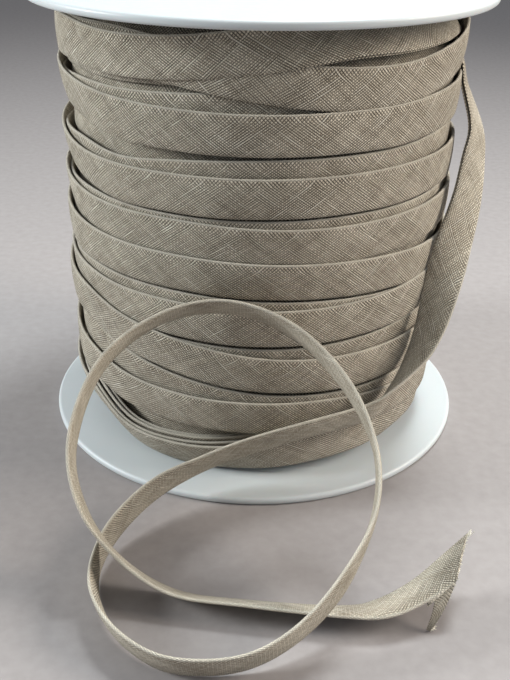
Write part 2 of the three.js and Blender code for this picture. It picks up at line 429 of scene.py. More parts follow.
def folded_binding_tree():
    """Sweeps the folded section along a line of points, each with its own twist, opening and cut."""
    group, tree, given, output = geometry_tree(
        "folded_binding", Section="NodeSocketObject", Cotton="NodeSocketMaterial"
    )
    line = tree.captured(
        tree.add("GeometryNodeMeshToCurve", given["Geometry"]).outputs[0],
        middle=("VECTOR", tree.add("GeometryNodeInputPosition").outputs[0]),
        along=("VECTOR", tree.add("GeometryNodeInputTangent").outputs[0]),
        edge=("VECTOR", tree.attribute("edge_way", "FLOAT_VECTOR")),
        opening=("FLOAT", tree.attribute("leaf_open", "FLOAT")),
        trim=("FLOAT", tree.attribute("leaf_trim", "FLOAT")),
        cut=("FLOAT", tree.attribute("cut_back", "FLOAT")),
        length=("FLOAT", tree.add("GeometryNodeSplineParameter").outputs["Length"]),
    )
    shape = tree.add("GeometryNodeObjectInfo", given["Section"]).outputs["Geometry"]
    section = tree.captured(
        tree.add("GeometryNodeMeshToCurve", shape).outputs[0],
        offset=("VECTOR", tree.add("GeometryNodeInputPosition").outputs[0]),
        leaf=("FLOAT", tree.attribute("leaf", "FLOAT")),
        cloth=("FLOAT", tree.attribute("cloth_across", "FLOAT")),
    )
    swept = tree.add(
        "GeometryNodeCurveToMesh",
        named={"Curve": line.outputs[0], "Profile Curve": section.outputs[0], "Fill Caps": True},
    ).outputs[0]

    leaf = section.outputs["leaf"]
    fold = ((TAPE_WIDTH / 2 - LEAF_THICKNESS) * MM, 0.0, 0.0)
    swing = tree.math("MULTIPLY", leaf, line.outputs["opening"])
    turned = tree.add(
        "ShaderNodeVectorRotate",
        section.outputs["offset"],
        fold,
        None,
        swing,
        rotation_type="Z_AXIS",
    ).outputs[0]
    parts = tree.add("ShaderNodeSeparateXYZ", turned).outputs
    along = line.outputs["along"]
    edge = line.outputs["edge"]
    slip = tree.add("ShaderNodeVectorMath", edge, along, operation="DOT_PRODUCT").outputs["Value"]
    across = tree.vector("SUBTRACT", edge, tree.scaled(along, slip))
    across = tree.vector("NORMALIZE", across)
    through = tree.vector("CROSS_PRODUCT", across, along)
    back = tree.math(
        "ADD",
        tree.math("MULTIPLY", line.outputs["cut"], parts["X"]),
        tree.math("MULTIPLY", line.outputs["trim"], leaf),
    )
    place = tree.vector("ADD", line.outputs["middle"], tree.scaled(across, parts["X"]))
    place = tree.vector("ADD", place, tree.scaled(through, parts["Y"]))
    place = tree.vector("SUBTRACT", place, tree.scaled(along, back))
    shaped = tree.add("GeometryNodeSetPosition", swept, None, place).outputs[0]

    reached = tree.math("SUBTRACT", line.outputs["length"], back)
    cloth = tree.add("ShaderNodeCombineXYZ", reached, section.outputs["cloth"]).outputs[0]
    mapped = tree.add(
        "GeometryNodeStoreNamedAttribute",
        named={"Geometry": shaped, "Name": "UVMap", "Value": tree.scaled(cloth, 1 / MM)},
        data_type="FLOAT2",
        domain="CORNER",
    ).outputs[0]
    rounded = smooth_but_for_corners(tree, mapped)
    end_tree(tree, rounded, given["Cotton"], output)
    return group


def turned_disc_tree():
    """Turns a profile of points, radius in X and height in Z, into a closed round disc."""
    group, tree, given, output = geometry_tree(
        "turned_disc", Sides="NodeSocketInt", Plastic="NodeSocketMaterial"
    )
    count = tree.add("GeometryNodeAttributeDomainSize", given["Geometry"], component="MESH").outputs[0]
    columns = tree.math("ADD", given["Sides"], 1)
    grid = tree.add("GeometryNodeMeshGrid", 1.0, 1.0, columns, count).outputs[0]
    index = tree.add("GeometryNodeInputIndex").outputs[0]
    column = tree.math("FLOOR", tree.math("DIVIDE", index, count))
    row = tree.math("MODULO", index, count)
    point = tree.add(
        "GeometryNodeSampleIndex",
        given["Geometry"],
        tree.add("GeometryNodeInputPosition").outputs[0],
        row,
        data_type="FLOAT_VECTOR",
    ).outputs[0]
    angle = tree.math("MULTIPLY", tree.math("DIVIDE", column, given["Sides"]), math.tau)
    place = tree.add("ShaderNodeVectorRotate", point, None, None, angle, rotation_type="Z_AXIS").outputs[0]
    height = tree.add("ShaderNodeSeparateXYZ", point).outputs["Z"]
    round_way = tree.math("MULTIPLY", angle, BODY_RADIUS * MM)
    spread = tree.add("ShaderNodeCombineXYZ", round_way, height).outputs[0]
    placed = tree.captured(grid, place=("VECTOR", place), spread=("VECTOR", spread))
    shaped = tree.add("GeometryNodeSetPosition", placed.outputs[0], None, placed.outputs["place"]).outputs[0]
    mapped = tree.add(
        "GeometryNodeStoreNamedAttribute",
        named={"Geometry": shaped, "Name": "UVMap", "Value": tree.scaled(placed.outputs["spread"], 1 / MM)},
        data_type="FLOAT2",
        domain="CORNER",
    ).outputs[0]
    closed = tree.add(
        "GeometryNodeMergeByDistance", named={"Geometry": mapped, "Distance": WELD * MM}
    ).outputs[0]
    rounded = smooth_but_for_corners(tree, closed)
    end_tree(tree, rounded, given["Plastic"], output)
    return group


def opened_leaf_tree():
    """A sheet between the fold and the tip, bowed outward and given its thickness."""
    group, tree, given, output = geometry_tree(
        "opened_leaf",
        Fold_back="NodeSocketVector",
        Fold_end="NodeSocketVector",
        Tip_back="NodeSocketVector",
        Tip_end="NodeSocketVector",
        Bow="NodeSocketFloat",
        Thickness="NodeSocketFloat",
        Cotton="NodeSocketMaterial",
    )
    grid = tree.add("GeometryNodeMeshGrid", 1.0, 1.0, OPENED_LEAF_COLUMNS, OPENED_LEAF_ROWS)
    place = tree.add("ShaderNodeSeparateXYZ", grid.outputs["UV Map"]).outputs

    def between(first, second, share):
        span = tree.vector("SUBTRACT", second, first)
        return tree.vector("ADD", first, tree.scaled(span, share))

    fold = between(given["Fold_back"], given["Fold_end"], place["X"])
    tip = between(given["Tip_back"], given["Tip_end"], place["X"])
    along = tree.vector("SUBTRACT", given["Fold_end"], given["Fold_back"])
    down = tree.vector("SUBTRACT", given["Tip_back"], given["Fold_back"])
    outward = tree.vector("NORMALIZE", tree.vector("CROSS_PRODUCT", down, along))
    swell = tree.math("SINE", tree.math("MULTIPLY", place["Y"], math.pi))
    sheet = between(fold, tip, place["Y"])
    sheet = tree.vector("ADD", sheet, tree.scaled(outward, tree.math("MULTIPLY", swell, given["Bow"])))
    front = tree.add("GeometryNodeSetPosition", grid.outputs["Mesh"], None, sheet).outputs[0]
    raised = tree.add(
        "GeometryNodeExtrudeMesh",
        named={"Mesh": front, "Offset Scale": given["Thickness"], "Individual": False},
    ).outputs[0]
    back = tree.add("GeometryNodeFlipFaces", front).outputs[0]
    joined = tree.add("GeometryNodeJoinGeometry")
    tree.put(joined.inputs[0], raised)
    tree.put(joined.inputs[0], back)
    closed = tree.add(
        "GeometryNodeMergeByDistance", named={"Geometry": joined.outputs[0], "Distance": WELD * MM}
    ).outputs[0]
    size = (OPENED_LEAF_FOLD, OPENED_LEAF_LENGTH, 0.0)
    spread = tree.vector("MULTIPLY", grid.outputs["UV Map"], size)
    cloth = tree.vector("ADD", spread, (0.0, TAPE_WIDTH, 0.0))
    mapped = tree.add(
        "GeometryNodeStoreNamedAttribute",
        named={"Geometry": closed, "Name": "UVMap", "Value": cloth},
        data_type="FLOAT2",
        domain="CORNER",
    ).outputs[0]
    rounded = smooth_but_for_corners(tree, mapped)
    end_tree(tree, rounded, given["Cotton"], output)
    return group


def thread_tree():
    """Gives lines of points the round thickness of a thread."""
    group, tree, given, output = geometry_tree(
        "loose_threads", Radius="NodeSocketFloat", Cotton="NodeSocketMaterial"
    )
    line = tree.add("GeometryNodeMeshToCurve", given["Geometry"]).outputs[0]
    ring = tree.add(
        "GeometryNodeCurvePrimitiveCircle", named={"Resolution": FRAY_SIDES, "Radius": given["Radius"]}
    )
    tube = tree.add(
        "GeometryNodeCurveToMesh",
        named={"Curve": line, "Profile Curve": ring.outputs[0], "Fill Caps": True},
    ).outputs[0]
    smooth = tree.add("GeometryNodeSetShadeSmooth", tube, None, True).outputs[0]
    end_tree(tree, smooth, given["Cotton"], output)
    return group


# Materials


def new_material(name):
    material = bpy.data.materials.new(name)
    material.use_nodes = True
    tree = Tree(material.node_tree)
    return material, tree, material.node_tree.nodes["Principled BSDF"]


def set_surface(tree, surface, **values):
    """Sets the surface's inputs, each named with _ for a space."""
    for name, value in values.items():
        tree.put(surface.inputs[name.replace("_", " ")], value)


def colour_between(tree, share, first, second):
    node = tree.add("ShaderNodeMix", data_type="RGBA")
    for name, value in (("Factor_Float", share), ("A_Color", first), ("B_Color", second)):
        tree.put(next(socket for socket in node.inputs if socket.identifier == name), value)
    return next(socket for socket in node.outputs if socket.identifier == "Result_Color")


# Cotton: lengths are millimetres of cloth, depths and shares run from 0 to 1.
BIAS = math.radians(37)
THREAD_PITCH = 0.66
COTTON_THREAD = (0.85, 0.765, 0.625, 1.0)
COTTON_SHADE = (0.51, 0.44, 0.34, 1.0)
COTTON_GAP = (0.045, 0.036, 0.026, 1.0)
COTTON_SLUB = (0.8, 0.745, 0.64, 1.0)
COTTON_FRAY = (0.72, 0.68, 0.58, 1.0)
WARP_SEED = 11.0
WEFT_SEED = 57.0
WARP_GAP = 1.25
WEFT_GAP = 1.15
WOUND_GAP = 1.0
# The loose end's cotton has shallower shade between its threads, so it is paler: painted light for the loose
# end, which stands out in more light and in softer focus than the winding.
PAINTED_LIGHT_LOOSE_GAP = 0.8
GAP_RANGE = (0.35, 0.9)
GAP_LEAST = 0.6
UNDER_SHADE = 0.1
PATCH_SCALE = 0.2
PATCH_DETAIL = 2.0
PATCH_RANGE = (0.4, 0.6)
PATCH_LEAST = 0.62
THREAD_APART = 90.0
TONE_RUN = 0.1
TONE_SCALE = 0.11
TONE_DETAIL = 3.0
TONE_OWN = 0.65
TONE_RANGE = (0.35, 0.65)
SLUB_SHARE = 0.7
SLUB_RUN = 0.12
SLUB_SWELL = (0.5, 0.75)
SLUB_SIDE = (0.3, 0.8)
SLUB_SHOW = 0.75
SLUB_RAISED = 0.4
# These pale the cloth along the fold: partly wear, partly a painted highlight where the fold's round top
# catches light from above.
FOLD_WEAR_AND_HIGHLIGHT = 0.5
FOLD_WEAR_AND_HIGHLIGHT_RANGE = (0.5, 1.2)
COTTON_ROUGHNESS = 0.92
COTTON_SPECULAR = 0.2
COTTON_SHEEN = 0.08
COTTON_SHEEN_ROUGHNESS = 0.5
COTTON_RELIEF = 0.3
COTTON_RELIEF_SHOW = 0.9
FRAY_TWIST_SCALE = 2500.0
FRAY_ROUGHNESS = 0.95


def thread_noise(tree, along, chance, run):
    """Slow change along one thread, different for every thread."""
    place = tree.math("MULTIPLY", along, run)
    apart = tree.math("MULTIPLY", chance, THREAD_APART)
    return tree.noise(tree.add("ShaderNodeCombineXYZ", place, apart).outputs[0], 1.0, 1.0)


def thread_set(tree, across, along, seed):
    """One set of threads: each one's number, nearness to its side, tone, pale slubs and depth of gap."""
    scaled = tree.math("DIVIDE", across, THREAD_PITCH)
    number = tree.math("FLOOR", scaled)
    side = tree.math("ABSOLUTE", tree.math("MULTIPLY_ADD", tree.math("FRACT", scaled), 2.0, -1.0))
    chance = tree.add(
        "ShaderNodeTexWhiteNoise",
        named={"W": tree.math("ADD", number, seed)},
        noise_dimensions="1D",
    ).outputs["Value"]
    tone = thread_noise(tree, along, chance, TONE_RUN)
    swell = tree.ranged(thread_noise(tree, along, chance, SLUB_RUN), *SLUB_SWELL)
    thin = tree.ranged(side, *SLUB_SIDE, 1.0, 0.0)
    picked = tree.math("GREATER_THAN", chance, SLUB_SHARE)
    slub = tree.math("MULTIPLY", tree.math("MULTIPLY", picked, swell), thin)
    depth = tree.math("MULTIPLY_ADD", chance, 1 - GAP_LEAST, GAP_LEAST)
    return number, side, tone, slub, depth


def between_threads(tree, side, depth, patch, most):
    """The shade between one thread of a set and the next, deeper where this set lies uppermost."""
    share = tree.math("MULTIPLY_ADD", patch, 1 - PATCH_LEAST, PATCH_LEAST)
    deepest = tree.math("MULTIPLY", tree.math("MULTIPLY", depth, share), most)
    return tree.math("MULTIPLY", tree.ranged(side, *GAP_RANGE), deepest)


def bias_cotton(name, gap_share):
    """Plain weave that runs aslant of the binding, with pale slub threads and a fold made paler, partly by
    wear and partly as a painted highlight.
    """
    material, tree, surface = new_material(name)
    cloth = tree.add("ShaderNodeUVMap", uv_map="UVMap").outputs[0]
    parts = tree.add("ShaderNodeSeparateXYZ", cloth).outputs
    across_x = tree.math("MULTIPLY", parts["X"], math.sin(BIAS))
    across_y = tree.math("MULTIPLY", parts["Y"], math.cos(BIAS))
    along_x = tree.math("MULTIPLY", parts["X"], math.cos(BIAS))
    along_y = tree.math("MULTIPLY", parts["Y"], math.sin(BIAS))
    warp_number, warp_side, warp_tone, warp_slub, warp_depth = thread_set(
        tree,
        tree.math("SUBTRACT", across_y, across_x),
        tree.math("ADD", along_x, along_y),
        WARP_SEED,
    )
    weft_number, weft_side, weft_tone, weft_slub, weft_depth = thread_set(
        tree,
        tree.math("ADD", across_y, across_x),
        tree.math("SUBTRACT", along_x, along_y),
        WEFT_SEED,
    )

    over = tree.math("PINGPONG", tree.math("ADD", warp_number, weft_number), 1.0)
    under = tree.math("SUBTRACT", 1.0, over)
    patch = tree.ranged(tree.noise(cloth, PATCH_SCALE, PATCH_DETAIL), *PATCH_RANGE)
    rest = tree.math("SUBTRACT", 1.0, patch)
    warp_line = between_threads(tree, warp_side, warp_depth, patch, WARP_GAP * gap_share)
    weft_line = between_threads(tree, weft_side, weft_depth, rest, WEFT_GAP * gap_share)
    line = tree.math("MAXIMUM", warp_line, weft_line)
    line = tree.math("ADD", line, tree.math("MULTIPLY", under, UNDER_SHADE))
    slub = tree.math("MAXIMUM", warp_slub, weft_slub)
    filled = tree.math("MULTIPLY_ADD", slub, -SLUB_SHOW, 1.0)
    gap = tree.math("MULTIPLY", line, filled, clamp=True)

    coarse = tree.math("MULTIPLY", tree.noise(cloth, TONE_SCALE, TONE_DETAIL), 1 - TONE_OWN)
    own = tree.math("ADD", tree.math("MULTIPLY", warp_tone, over), tree.math("MULTIPLY", weft_tone, under))
    tone = tree.ranged(tree.math("ADD", coarse, tree.math("MULTIPLY", own, TONE_OWN)), *TONE_RANGE)
    thread = colour_between(tree, tone, COTTON_THREAD, COTTON_SHADE)
    thread = colour_between(tree, tree.math("MULTIPLY", slub, SLUB_SHOW), thread, COTTON_SLUB)
    colour = colour_between(tree, gap, thread, COTTON_GAP)
    from_fold = tree.math("ABSOLUTE", tree.math("SUBTRACT", parts["Y"], TAPE_WIDTH))
    # Paler near the fold: partly wear, partly a painted highlight.
    worn_and_lit = tree.ranged(from_fold, *FOLD_WEAR_AND_HIGHLIGHT_RANGE, FOLD_WEAR_AND_HIGHLIGHT, 0.0)
    relief = tree.math("SUBTRACT", tree.math("MULTIPLY", slub, SLUB_RAISED), gap)
    set_surface(
        tree,
        surface,
        Base_Color=colour_between(tree, worn_and_lit, colour, COTTON_SLUB),
        Roughness=COTTON_ROUGHNESS,
        Specular_IOR_Level=COTTON_SPECULAR,
        Sheen_Weight=COTTON_SHEEN,
        Sheen_Roughness=COTTON_SHEEN_ROUGHNESS,
        Normal=tree.relief(relief, COTTON_RELIEF, COTTON_RELIEF_SHOW),
    )
    return material


def loose_thread_cotton():
    """Single threads at the cut, paler than the cloth."""
    material, tree, surface = new_material("loose_thread_cotton")
    place = tree.add("ShaderNodeTexCoord").outputs["Object"]
    twist = tree.noise(place, FRAY_TWIST_SCALE, 1.0)
    set_surface(
        tree,
        surface,
        Base_Color=colour_between(tree, twist, COTTON_SLUB, COTTON_FRAY),
        Roughness=FRAY_ROUGHNESS,
    )
    return material


# Plastic
PLASTIC_WHITE = (0.585, 0.615, 0.625, 1.0)
PLASTIC_SHADE = (0.54, 0.57, 0.58, 1.0)
FLOW_SCALE = 28.0
FLOW_DETAIL = 4.0
FLOW_RAISED = 2.0
SCUFF_SCALE = 420.0
SCUFF_DETAIL = 3.0
SCUFF_RAISED = 0.15
SCUFF_RANGE = (0.3, 0.7)
PLASTIC_ROUGHNESS = (0.36, 0.5)
PLASTIC_RELIEF = 0.12
PLASTIC_RELIEF_SHOW = 0.2
PLASTIC_GLOW = 0.05
PLASTIC_GLOW_DEPTH = 2.0


def white_plastic():
    """Moulded plastic with a low sheen, faint flow marks and fine scuffs."""
    material, tree, surface = new_material("white_plastic")
    place = tree.add("ShaderNodeTexCoord").outputs["Object"]
    flow = tree.noise(place, FLOW_SCALE, FLOW_DETAIL)
    scuff = tree.noise(place, SCUFF_SCALE, SCUFF_DETAIL)
    flow_relief = tree.math("MULTIPLY", flow, FLOW_RAISED)
    relief = tree.math("ADD", flow_relief, tree.math("MULTIPLY", scuff, SCUFF_RAISED))
    set_surface(
        tree,
        surface,
        Base_Color=colour_between(tree, flow, PLASTIC_WHITE, PLASTIC_SHADE),
        Roughness=tree.ranged(scuff, *SCUFF_RANGE, *PLASTIC_ROUGHNESS),
        Normal=tree.relief(relief, PLASTIC_RELIEF, PLASTIC_RELIEF_SHOW),
        Subsurface_Weight=PLASTIC_GLOW,
        Subsurface_Scale=PLASTIC_GLOW_DEPTH * MM,
    )
    return material


# Floor
FLOOR_DARK = (0.29, 0.265, 0.26, 1.0)
FLOOR_PALE = (0.37, 0.34, 0.335, 1.0)
FLOOR_SCALE = 260.0
FLOOR_DETAIL = 3.0
FLOOR_ROUGHNESS = 0.95
FLOOR_SPECULAR = 0.1


def pale_floor():
    material, tree, surface = new_material("pale_floor")
    place = tree.add("ShaderNodeTexCoord").outputs["Object"]
    grain = tree.noise(place, FLOOR_SCALE, FLOOR_DETAIL)
    set_surface(
        tree,
        surface,
        Base_Color=colour_between(tree, grain, FLOOR_DARK, FLOOR_PALE),
        Roughness=FLOOR_ROUGHNESS,
        Specular_IOR_Level=FLOOR_SPECULAR,
    )
    return material


# Binding


def folded_section():
    """Points round the folded binding: across, through, leaf, and place across the opened cloth."""
    half = TAPE_WIDTH / 2
    inside = LEAF_GAP / 2
    outside = inside + LEAF_THICKNESS
    fold = half - outside
    free = -half + FREE_EDGE_ROUND
    first, second = 0.0, 1.0

    def first_leaf(across, through):
        return across, through, first, across + half

    def second_leaf(across, through):
        return across, -through, second, TAPE_WIDTH + half - across

    faces = []
    for step in range(FACE_STEPS):
        share = step / FACE_STEPS
        faces.append((free + (fold - free) * share, outside + FACE_SWELL * math.sin(math.pi * share)))
    bend = []
    for step in range(FOLD_STEPS + 1):
        share = step / FOLD_STEPS
        angle = math.pi / 2 - math.pi * share
        cloth = TAPE_WIDTH + FOLD_CLOTH * (share - 0.5)
        bend.append((fold + outside * math.cos(angle), outside * math.sin(angle), share, cloth))
    inner_faces = [(free, inside), (0.0, inside), (fold - inside, inside)]
    edges = [(-half, outside - FREE_EDGE_ROUND), (-half, inside + FREE_EDGE_ROUND / 2)]
    return [
        *(first_leaf(*point) for point in faces),
        *bend,
        *(second_leaf(*point) for point in reversed(faces)),
        *(second_leaf(*point) for point in edges),
        *(second_leaf(*point) for point in inner_faces),
        (fold, 0.0, (first + second) / 2, TAPE_WIDTH),
        *(first_leaf(*point) for point in reversed(inner_faces)),
        *(first_leaf(*point) for point in reversed(edges)),
    ]


def add_values(mesh, name, kind, values):
    layer = mesh.attributes.new(name, kind, "POINT")
    for item, value in zip(layer.data, values):
        setattr(item, "vector" if kind == "FLOAT_VECTOR" else "value", value)


def section_object():
    rows = folded_section()
    count = len(rows)
    mesh = bpy.data.meshes.new("binding_section")
    edges = [(i, (i + 1) % count) for i in range(count)]
    mesh.from_pydata([(across * MM, through * MM, 0.0) for across, through, _, _ in rows], edges, [])
    add_values(mesh, "leaf", "FLOAT", [leaf for _, _, leaf, _ in rows])
    add_values(mesh, "cloth_across", "FLOAT", [cloth * MM for _, _, _, cloth in rows])
    return add_object("binding_section", mesh)


def binding(name, points, section, tree, cotton):
    """A length of folded binding along points, each a dict of middle, edge, open, trim and cut."""
    mesh = bpy.data.meshes.new(name)
    edges = [(i, i + 1) for i in range(len(points) - 1)]
    mesh.from_pydata([point["middle"] for point in points], edges, [])
    add_values(mesh, "edge_way", "FLOAT_VECTOR", [point["edge"] for point in points])
    add_values(mesh, "leaf_open", "FLOAT", [point["open"] for point in points])
    add_values(mesh, "leaf_trim", "FLOAT", [point.get("trim", 0.0) for point in points])
    add_values(mesh, "cut_back", "FLOAT", [point.get("cut", 0.0) for point in points])
    piece = add_object(name, mesh)
    return run_tree(piece, tree, Section=section, Cotton=cotton)


def spline(rows, row, share):
    """A point of the smooth curve through the rows, a share of the way from one row to the next."""
    before = rows[row - 1] if row else 2 * rows[0] - rows[1]
    after = rows[row + 2] if row + 2 < len(rows) else 2 * rows[-1] - rows[-2]
    start, end = rows[row], rows[row + 1]
    return 0.5 * (
        2 * start
        + (end - before) * share
        + (2 * before - 5 * start + 4 * end - after) * share**2
        + (after - before + 3 * (start - end)) * share**3
    )


def ease(share):
    share = min(max(share, 0.0), 1.0)
    return share * share * (3 - 2 * share)


def route_points(rows, count):
    """Points of the route from its first row through a count of rows."""
    middles = [Vector(row[:3]) for row in rows]
    edges = [Vector(row[3:]).normalized() for row in rows]
    points = []
    for row in range(count - 1):
        for step in range(STEPS_PER_ROW):
            share = step / STEPS_PER_ROW
            points.append(dict(middle=spline(middles, row, share), edge=spline(edges, row, share)))
    points.append(dict(middle=middles[count - 1], edge=edges[count - 1]))
    for point in points:
        point["open"] = math.radians(LEAF_OPEN_DEG)
    return points


def loose_end_points():
    points = route_points(LOOSE_END, len(LOOSE_END))
    length = 0.0
    lengths = [0.0]
    for last, point in zip(points, points[1:]):
        length += (point["middle"] - last["middle"]).length
        lengths.append(length)
    for point, at in zip(points, lengths):
        left = (length - at) / MM
        tip = ease(1 - left / TIP_OPEN_ZONE)
        waver = noise.noise(Vector((at * OPEN_WAVER, 0.0, OPEN_SEED)))
        point["open"] = math.radians(LEAF_OPEN_DEG * (1 + waver) + TIP_OPEN_DEG * tip)
        point["cut"] = CUT_SLANT * ease(1 - left / CUT_ZONE)
        point["trim"] = UNDER_LEAF_TRIM * MM * tip
    return points, length


def cut_frame(points, back):
    """Middle, run, fold direction and face direction of the loose end, some way back from its cut."""
    place = len(points) - 1
    left = back * MM
    while left > 0 and place > 1:
        left -= (points[place]["middle"] - points[place - 1]["middle"]).length
        place -= 1
    along = (points[place]["middle"] - points[place - 1]["middle"]).normalized()
    edge = points[place]["edge"]
    edge = (edge - along * edge.dot(along)).normalized()
    return points[place]["middle"], along, edge, edge.cross(along)


def on_cut(points, across):
    """A place on the slanted cut, across the upper leaf."""
    middle, along, edge, face = cut_frame(points, 0.0)
    return middle + (edge * across - along * CUT_SLANT * across + face * LEAF_THICKNESS / 2) * MM


def opened_leaf(points, cotton):
    half = TAPE_WIDTH / 2 - LEAF_THICKNESS
    middle, _, edge, _ = cut_frame(points, OPENED_LEAF_FOLD + CUT_SLANT * half)
    return run_tree(
        add_object("opened_leaf", bpy.data.meshes.new("opened_leaf")),
        opened_leaf_tree(),
        Fold_back=middle + edge * half * MM,
        Fold_end=on_cut(points, half),
        Tip_back=OPENED_LEAF_TIP[0],
        Tip_end=OPENED_LEAF_TIP[1],
        Bow=OPENED_LEAF_BOW * MM,
        Thickness=LEAF_THICKNESS * MM,
        Cotton=cotton,
    )


def stray_way(chance):
    return Vector((chance.gauss(0, 1), chance.gauss(0, 1), chance.gauss(0, 1)))


def frayed_threads(points, thread_cotton):
    """Short threads along the cut of both leaves and longer ones at their tips."""
    chance = random.Random(FRAY_SEED)
    half = TAPE_WIDTH / 2
    _, along, edge, _ = cut_frame(points, 0.0)
    tip = on_cut(points, -half)
    low_tip = Vector(OPENED_LEAF_TIP[1])
    fold = on_cut(points, half)
    down = (low_tip - fold).normalized()
    roots = []
    for _ in range(FRAY_ALONG_CUT):
        roots.append((on_cut(points, chance.uniform(-half, half)), along, FRAY_SHORT))
        if chance.random() < FRAY_SPREAD:
            roots.append((fold.lerp(low_tip, chance.random()), (along + edge) / 2, FRAY_SHORT))
    for _ in range(FRAY_AT_TIP):
        root = tip + edge * chance.uniform(0.0, FRAY_TIP_REACH) * MM
        roots.append((root, along - edge * FRAY_SPREAD, FRAY_LONG))
        root = low_tip.lerp(fold, chance.uniform(0.0, FRAY_LEAF_SHARE))
        roots.append((root, (down - edge) * FRAY_CURL + along, FRAY_LONG))
    places = []
    lines = []
    for root, way, lengths in roots:
        way = (way.normalized() + stray_way(chance) * FRAY_SPREAD / 2).normalized()
        curl = stray_way(chance) * FRAY_CURL
        step = chance.uniform(*lengths) * MM / FRAY_STEPS
        place = root - way * step
        for number in range(FRAY_STEPS + 1):
            if number:
                lines.append((len(places) - 1, len(places)))
            places.append((place.x, place.y, max(place.z, FRAY_RADIUS * MM)))
            way = (way + curl / FRAY_STEPS).normalized()
            place = place + way * step
    mesh = bpy.data.meshes.new("frayed_threads")
    mesh.from_pydata(places, lines, [])
    piece = add_object("frayed_threads", mesh)
    return run_tree(piece, thread_tree(), Radius=FRAY_RADIUS * MM, Cotton=thread_cotton)


def through_keys(keys, degrees):
    """Smooth value at an angle, from keys of (degrees, value)."""
    spot = next((i for i in range(len(keys) - 2) if degrees < keys[i + 1][0]), len(keys) - 2)
    (left, low), (right, high) = keys[spot], keys[spot + 1]
    span = right - left

    def slope(key):
        first, second = keys[max(key - 1, 0)], keys[min(key + 1, len(keys) - 1)]
        return (second[1] - first[1]) / (second[0] - first[0])

    share = min(max((degrees - left) / span, 0.0), 1.0)
    rise = slope(spot) * span
    fall = slope(spot + 1) * span
    return (
        (2 * share**3 - 3 * share**2 + 1) * low
        + (share**3 - 2 * share**2 + share) * rise
        + (-2 * share**3 + 3 * share**2) * high
        + (share**3 - share**2) * fall
    )


def turn_keys(turns, end, column):
    keys = []
    for lap, turn in enumerate(turns):
        start = lap * TURN_DEG
        for degrees, value in zip(STATIONS, turn[column]):
            keys.append((start + degrees, value))
        after = turns[lap + 1][column][0] if lap + 1 < len(turns) else end[column]
        keys.append((start + BACK_DEG, (turn[column][-1] + after) / 2))
    keys.append((len(turns) * TURN_DEG + STATIONS[0], end[column]))
    return keys


def drawn_in(height):
    """How far the ends of the winding are drawn in at a height."""
    foot = max(0.0, 1 - (height - DISC_THICKNESS) / FOOT_HEIGHT)
    head = max(0.0, 1 - (REEL_HEIGHT - DISC_THICKNESS - height) / HEAD_HEIGHT)
    return FOOT_DRAW_IN * foot**2 + HEAD_DRAW_IN * head**2


def turn_point(degrees, height, radius, lean, opening, seed):
    """A point of a turn; every layer shares the same slow unevenness, so the layers stay apart."""
    angle = math.radians(degrees)
    outward = Vector((math.sin(angle), -math.cos(angle), 0.0))
    radius += WOBBLE * noise.noise(outward * WOBBLE_ROUND + UP * (height / WOBBLE_UP))
    leaf = noise.noise(outward * LEAF_OPEN_SCALE + UP * (degrees / TURN_DEG + seed))
    leaning = min(max(lean / TAPE_WIDTH, -MOST_LEAN), MOST_LEAN)
    return dict(
        middle=(outward * radius + UP * height) * MM,
        edge=outward * leaning + UP * math.sqrt(1 - leaning**2),
        open=math.radians(opening) * (1 + leaf),
    )


def tucked_in(degrees, first, last):
    """How far a length of turns is tucked in near its two ends."""
    start = ease((first + TUCK_DEG - degrees) / TUCK_DEG)
    end = ease((degrees - last + TUCK_DEG) / TUCK_DEG)
    return TUCK_DEPTH * (start + end)


def tabled_turns(turns, end, radius, opening, seed):
    heights = turn_keys(turns, end, "height")
    outs = turn_keys(turns, end, "out")
    leans = turn_keys(turns, end, "lean")
    first, last = heights[0][0] - TUCK_DEG, heights[-1][0]
    points = []
    for step in range(int((last - first) / STEP_DEG) + 1):
        degrees = first + step * STEP_DEG
        at = radius + through_keys(outs, degrees) - tucked_in(degrees, first, last)
        height = through_keys(heights, degrees)
        lean = through_keys(leans, degrees)
        points.append(turn_point(degrees, height, at, lean, opening, seed))
    return points


def third_turns():
    points = []
    steps = int(THIRD_TURNS * TURN_DEG / STEP_DEG)
    for step in range(steps + 1):
        height = THIRD_TOP + (THIRD_BOTTOM - THIRD_TOP) * step / steps
        degrees = BACK_DEG + step * STEP_DEG
        radius = THIRD_RADIUS - drawn_in(height)
        points.append(turn_point(degrees, height, radius, THIRD_LEAN, UNDER_OPEN_DEG, THIRD_SEED))
    return points


def foot_turn(place):
    """One of the short turns inside the lowest outer turn, the first nearest to it."""
    inward, rise = FOOT_STACK[place]["inward"], FOOT_STACK[place]["rise"]
    lap = (len(OUTER_TURNS) - 1) * TURN_DEG
    heights = turn_keys(OUTER_TURNS, OUTER_END, "height")
    outs = turn_keys(OUTER_TURNS, OUTER_END, "out")
    leans = turn_keys(OUTER_TURNS, OUTER_END, "lean")
    points = []
    for step in range(int((FOOT_STACK_END - FOOT_STACK_START) / STEP_DEG) + 1):
        degrees = FOOT_STACK_START + step * STEP_DEG
        height = through_keys(heights, lap + degrees) + rise
        radius = OUTER_RADIUS + through_keys(outs, lap + degrees) - inward
        radius -= tucked_in(degrees, FOOT_STACK_START, FOOT_STACK_END)
        lean = through_keys(leans, lap + degrees)
        points.append(turn_point(degrees, height, radius, lean, UNDER_OPEN_DEG, place))
    return points


def body_profile():
    """The layers beneath, which only show as shade between the turns."""
    bottom = DISC_THICKNESS + PIECE_GAP
    top = REEL_HEIGHT - DISC_THICKNESS - PIECE_GAP
    profile = [(0.0, 0.0, bottom * MM)]
    for level in range(BODY_LEVELS + 1):
        height = bottom + (top - bottom) * level / BODY_LEVELS
        profile.append(((BODY_RADIUS - drawn_in(height)) * MM, 0.0, height * MM))
    profile.append((0.0, 0.0, top * MM))
    return profile


